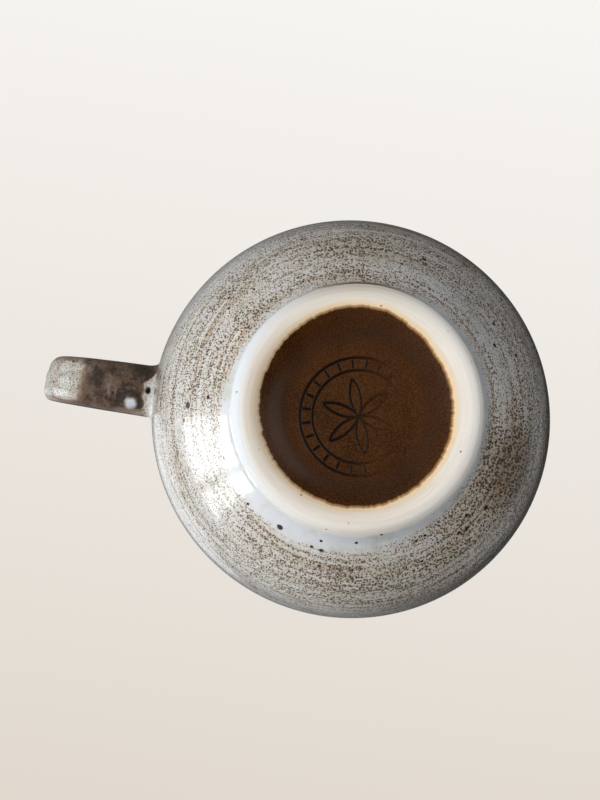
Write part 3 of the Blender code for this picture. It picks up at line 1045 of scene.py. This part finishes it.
def make_handle(finish):
    low = shares_at(FILLET - OVERLAP, False)
    high = shares_at(FILLET - OVERLAP, True)
    t = np.linspace(0, 1, STRAP_ROWS)[:, None]
    shares = low * (1 - t) + high * t
    points = strap_points(shares)
    # A patch painted pale as a highlight, raised a little as a bump
    pale_glaze_and_painted_highlight = painted_highlight_bump(points)
    points[..., 2] -= HIGHLIGHT_BUMP_HEIGHT * pale_glaze_and_painted_highlight
    points = strap_to_world(points)
    attributes = {"brown": strap_brown_share(shares), "hole_with_painted_shade": 0.0, "pale_glaze_and_painted_highlight": pale_glaze_and_painted_highlight}
    nodes = ["handle", "handle_glaze"]
    return add_piece("strap_handle", points, nodes, finish, attributes, flip=True)


def pinhole(rings):
    """How far each point is inside the burst bubble under the lower joint, from 0 to 1 at its middle."""
    away = np.linspace(0, 1, len(rings))[:, None]
    across = (rings[..., 1] - PINHOLE[0]) / PINHOLE_SIZE[0]
    along = (away - PINHOLE[1]) / PINHOLE_SIZE[1]
    return np.where(OUTWARD > 0, smoothstep(1.25, 0.75, np.hypot(across, along)), 0)


def make_joint(name, node, upper, finish):
    """The slip fillet round one end of the strap: brown next to the strap, pale where it meets the wall."""
    rings = fillet_rings(upper)
    away = np.linspace(0, 1, len(rings))[:, None]
    # The pinhole sinks the fillet, and its inside is painted near black as shade
    hole_with_painted_shade = np.zeros(rings.shape[:2]) if upper else pinhole(rings)
    rings[..., 2] += PINHOLE_DEPTH * hole_with_painted_shade
    across = rings[..., 1]
    reached = 0.10 + 0.75 * smoothstep(-1.0, -4.6, across) + 0.10 * smoothstep(2.0, 4.5, across)
    reached = reached + 0.04 * np.sin(across * 2.3)
    side = 1 if upper else 1 - 0.6 * smoothstep(0.70, 0.98, ACROSS)
    attributes = {
        "brown": 0.85 * smoothstep(reached + 0.12, reached - 0.12, away) * side,
        "hole_with_painted_shade": hole_with_painted_shade,
        "pale_glaze_and_painted_highlight": 0.45 * smoothstep(reached + 0.02, reached + 0.35, away) * smoothstep(1.0, 0.85, away),
    }
    points = strap_to_world(rings)
    return add_piece(name, points, [node], finish, attributes, flip=not upper)


# ---- stage, lights and camera

FLOOR_HALF = 3.0
FLOOR_COLOUR = (0.17, 0.165, 0.155)
FLOOR_ROUGHNESS = 0.9
FLOOR_GLOW = 0.60
FLOOR_GLOW_COLOUR = (1.0, 0.96, 0.91)
WALL_COLOUR = (0.76, 0.73, 0.685)
BACKDROP_HALF = 0.6
BACKDROP_HEIGHT = 1.0
BACKDROP_FADE = (-0.36, 0.30)
BACKDROP_TOP = (0.935, 0.915, 0.89)
BACKDROP_BOTTOM = (0.725, 0.66, 0.58)
SKY = (0.93, 0.97, 1.0)
FAR_WALL = (0.85, 0.88, 1.0)
SOFT_WHITE = (1.0, 0.985, 0.96)
MUG_MIDDLE = Vector((CUP_AXIS_X, 0, 0.03))
LIGHT_DISTANCE = 1.2
FILL_DISTANCE = 1.3
FILL_SIZE = (1.2, 0.9)

# Lights that mirror in the glaze: name, azimuth, elevation, width, height, radiance, colour
WINDOWS = [
    ("window_pane_wide", 160.8, 1, 0.48, 0.76, 5.4, SKY),
    ("window_pane_narrow", 140.4, 1, 0.20, 0.76, 5.4, SKY),
]
ROOM = [
    ("far_wall", 15, 40, 0.9, 0.30, 0.22, FAR_WALL),
    ("window_top", 151, 56, 0.66, 0.60, 0.8, SKY),
]

# Soft lights that shape the clay and glaze but don't mirror in them: name, azimuth, elevation, radiance
SOFT_FILLS = [
    ("fill_below_left", 165, -68, 1.75),
    ("fill_side_left", 172, -25, 1.0),
    ("fill_below_back", 245, -54, 1.5),
    ("fill_below_right", -35, -74, 0.5),
    ("fill_below_front", 100, -50, 1.5),
    ("key_above", 200, 60, 4.4),
    ("fill_above", -40, 58, 0.35),
    ("overhead", 60, 80, 4.0),
]


def stage_square(name, half, height, material):
    """A flat square, facing up, that only the camera sees."""
    corners = [(-half, -half, height), (half, -half, height), (half, half, height), (-half, half, height)]
    mesh = bpy.data.meshes.new(name)
    mesh.from_pydata(corners, [], [(0, 1, 2, 3)])
    mesh.materials.append(material)
    square = add_object(name, mesh)
    for ray in ("diffuse", "glossy", "transmission", "volume_scatter", "shadow"):
        setattr(square, "visible_" + ray, False)
    return square


def make_floor():
    """A pale floor that shows only from above, so that a camera below it sees through it."""
    f = Finish("floor")
    f.shade({
        "Base Color": (*FLOOR_COLOUR, 1),
        "Roughness": FLOOR_ROUGHNESS,
        "Emission Color": (*FLOOR_GLOW_COLOUR, 1),
        "Emission Strength": FLOOR_GLOW,
    })
    below = f.node("ShaderNodeNewGeometry").outputs["Backfacing"]
    clear = f.node("ShaderNodeBsdfTransparent").outputs[0]
    mix = f.node("ShaderNodeMixShader", {0: below, 1: f.shader.outputs[0], 2: clear})
    return stage_square("floor", FLOOR_HALF, 0.0, f.show(mix.outputs[0]))


def make_backdrop():
    """The pale paper behind the mug in the camera's view: lighter at the top of the picture."""
    f = Finish("backdrop")
    f.tree.nodes.remove(f.shader)
    parts = f.node("ShaderNodeSeparateXYZ", {0: f.node("ShaderNodeTexCoord").outputs["Object"]})
    low, high = BACKDROP_FADE
    place = f.node("ShaderNodeMapRange", {"Value": parts.outputs["Y"], "From Min": low, "From Max": high})
    colour = f.blend(place.outputs["Result"], BACKDROP_TOP, BACKDROP_BOTTOM)
    glow = f.node("ShaderNodeEmission", {"Color": colour})
    return stage_square("backdrop", BACKDROP_HALF, BACKDROP_HEIGHT, f.show(glow.outputs[0]))


def direction(azimuth, elevation):
    a, e = math.radians(azimuth), math.radians(elevation)
    return Vector((math.cos(a) * math.cos(e), math.sin(a) * math.cos(e), math.sin(e)))


def area_light(name, azimuth, elevation, distance, width, height, radiance, colour):
    """A rectangular light in the given direction from the mug's middle. Radiance is how bright it looks."""
    light = bpy.data.lights.new(name, "AREA")
    light.shape = "RECTANGLE"
    light.size = width
    light.size_y = height
    light.energy = radiance * width * height * math.pi
    light.color = colour
    item = add_object(name, light)
    towards = direction(azimuth, elevation)
    item.location = MUG_MIDDLE + towards * distance
    item.rotation_mode = "QUATERNION"
    item.rotation_quaternion = (-towards).to_track_quat("-Z", "Y")
    item.visible_camera = False
    return item


def make_lights(floor):
    """The windows, which don't light the floor because they stand close to it, the room and soft fills."""
    spared = bpy.data.collections.new("not_lit_by_the_windows")
    spared.objects.link(floor)
    spared.collection_objects[0].light_linking.link_state = "EXCLUDE"
    for name, azimuth, elevation, *rest in WINDOWS:
        pane = area_light(name, azimuth, elevation, LIGHT_DISTANCE, *rest)
        pane.light_linking.receiver_collection = spared
    for name, azimuth, elevation, *rest in ROOM:
        area_light(name, azimuth, elevation, LIGHT_DISTANCE, *rest)
    for name, azimuth, elevation, radiance in SOFT_FILLS:
        fill = area_light(name, azimuth, elevation, FILL_DISTANCE, *FILL_SIZE, radiance, SOFT_WHITE)
        fill.visible_glossy = False


def facing(f, towards, azimuth, elevation):
    """How nearly a direction is the one at that azimuth and elevation: 1 where they are the same."""
    inputs = {0: towards, 1: direction(azimuth, elevation)}
    return f.node("ShaderNodeVectorMath", inputs, operation="DOT_PRODUCT").outputs["Value"]


def surroundings(f):
    """How brightly the room lights the mug: more from the handle's side than from the other one.

    It is dim below, with a soft bright patch low on the other side, and the ceiling is dark there too.
    """
    towards = f.node("ShaderNodeTexCoord").outputs["Generated"]
    height = f.node("ShaderNodeSeparateXYZ", {0: towards}).outputs["Z"]
    left = facing(f, towards, 165, 0)
    low = facing(f, towards, -30, -42)
    side = f.spread(left, -0.7, 0.8, 0.06, 0.40)
    walls = f.times(side, f.spread(height, -0.55, -0.10, 0.3, 1.0))
    walls = f.plus(walls, f.spread(low, 0.84, 0.97, 0.0, 0.75))
    ceiling = f.spread(left, -0.35, 0.35, 0.005, 0.26)
    inputs = {"Factor": f.spread(height, 0.45, 0.80), "A": walls, "B": ceiling}
    return f.node("ShaderNodeMix", inputs, data_type="FLOAT").outputs["Result"]


def make_world():
    """A plain pale wall to the camera, and the surroundings to the mug."""
    world = bpy.data.worlds.new("surroundings")
    bpy.context.scene.world = world
    world.use_nodes = True
    f = Nodes(world.node_tree)
    around = f.node("ShaderNodeBackground", {"Color": (*SKY, 1), "Strength": surroundings(f)})
    seen = f.node("ShaderNodeBackground", {"Color": (*WALL_COLOUR, 1)})
    by_camera = f.node("ShaderNodeLightPath").outputs["Is Camera Ray"]
    mix = f.node("ShaderNodeMixShader", {0: by_camera, 1: around.outputs[0], 2: seen.outputs[0]})
    f.put(f.tree.nodes["World Output"].inputs["Surface"], mix.outputs[0])


def make_camera():
    """The camera is below the mug, rolled so that the handle points left and a little up."""
    right = Vector((math.cos(CAMERA_ROLL), -math.sin(CAMERA_ROLL), 0))
    up = Vector((-math.sin(CAMERA_ROLL), -math.cos(CAMERA_ROLL), 0))
    forward = (Vector((0, 0, 1)) + CAMERA_LEAN[0] * right + CAMERA_LEAN[1] * up).normalized()
    up = (up - up.dot(forward) * forward).normalized()
    right = forward.cross(up)
    data = bpy.data.cameras.new("camera")
    data.lens = LENS
    data.clip_start, data.clip_end = CAMERA_CLIP
    camera = add_object("camera", data)
    foot = Vector((CUP_AXIS_X, 0, 0))
    offset = FOOT_OFF_CENTRE[0] * right + FOOT_OFF_CENTRE[1] * up + CAMERA_DISTANCE * forward
    axes = Matrix((right, up, -forward)).transposed()
    camera.matrix_world = Matrix.Translation(foot - offset) @ axes.to_4x4()
    bpy.context.scene.camera = camera


# ---- the scene

make_camera()
make_world()
make_lights(make_floor())
make_backdrop()
make_outer_glaze()
make_foot_ring()
make_well_glaze()
make_liner()
strap_finish = handle_finish()
make_handle(strap_finish)
make_joint("lower_joint_fillet", "lower_handle_joint", False, strap_finish)
make_joint("upper_joint_fillet", "upper_handle_joint", True, strap_finish)
bpy.context.scene.view_settings.view_transform = "Standard"
